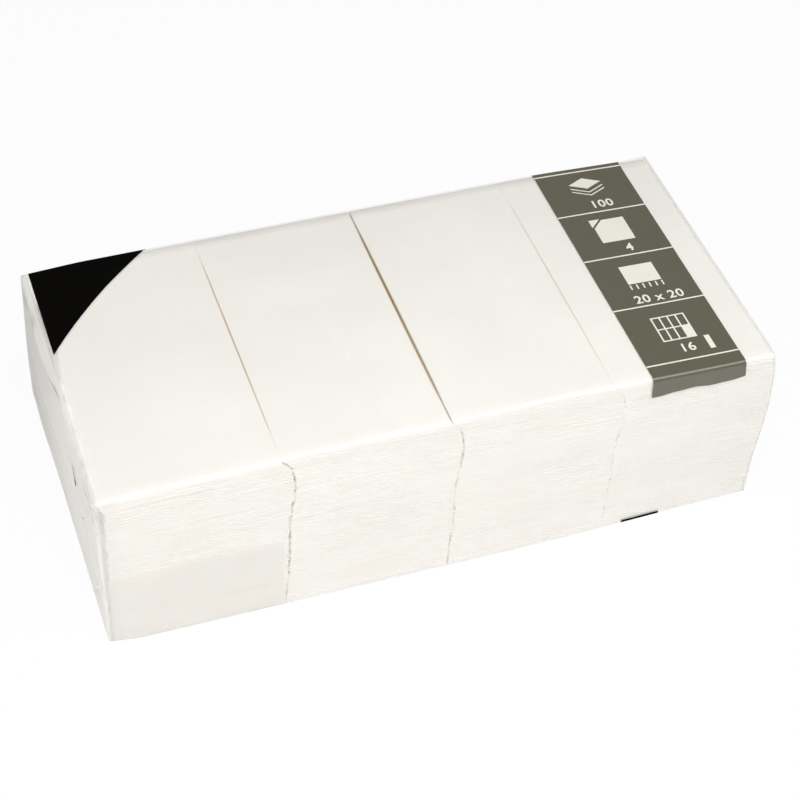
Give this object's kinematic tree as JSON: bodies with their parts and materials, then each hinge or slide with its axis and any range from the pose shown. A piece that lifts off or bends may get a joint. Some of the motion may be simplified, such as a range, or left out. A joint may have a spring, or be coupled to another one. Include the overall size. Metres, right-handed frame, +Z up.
{
  "type": "pack of folded paper napkins",
  "caption": "Sealed clear film pack holding stacks of white folded paper napkins side by side, with a grey printed band and a dark printed corner; for storing and serving table napkins.",
  "frame": {"origin": "bottom centre of the pack, on the surface it rests on", "axes": "+X along the row of stacks towards the printed band, +Y to the back, where the napkins' open edges are, +Z up"},
  "size_m": [0.3392, 0.165, 0.0947],
  "materials": {
    "clear_film": "clear gloss",
    "napkin_tissue": "soft matte, finely embossed",
    "band_ink": "printed on film",
    "black_ink": "printed on film",
    "pale_ink": "printed on film"
  },
  "bodies": {
    "root": {"film_wrapper": "clear_film", "napkin_stack_1": "napkin_tissue", "napkin_stack_2": "napkin_tissue", "napkin_stack_3": "napkin_tissue", "napkin_stack_4": "napkin_tissue", "printed_band": "band_ink", "printed_corner": "black_ink", "printed_edge": "black_ink", "band_marks": "pale_ink"}
  },
  "joints": []
}
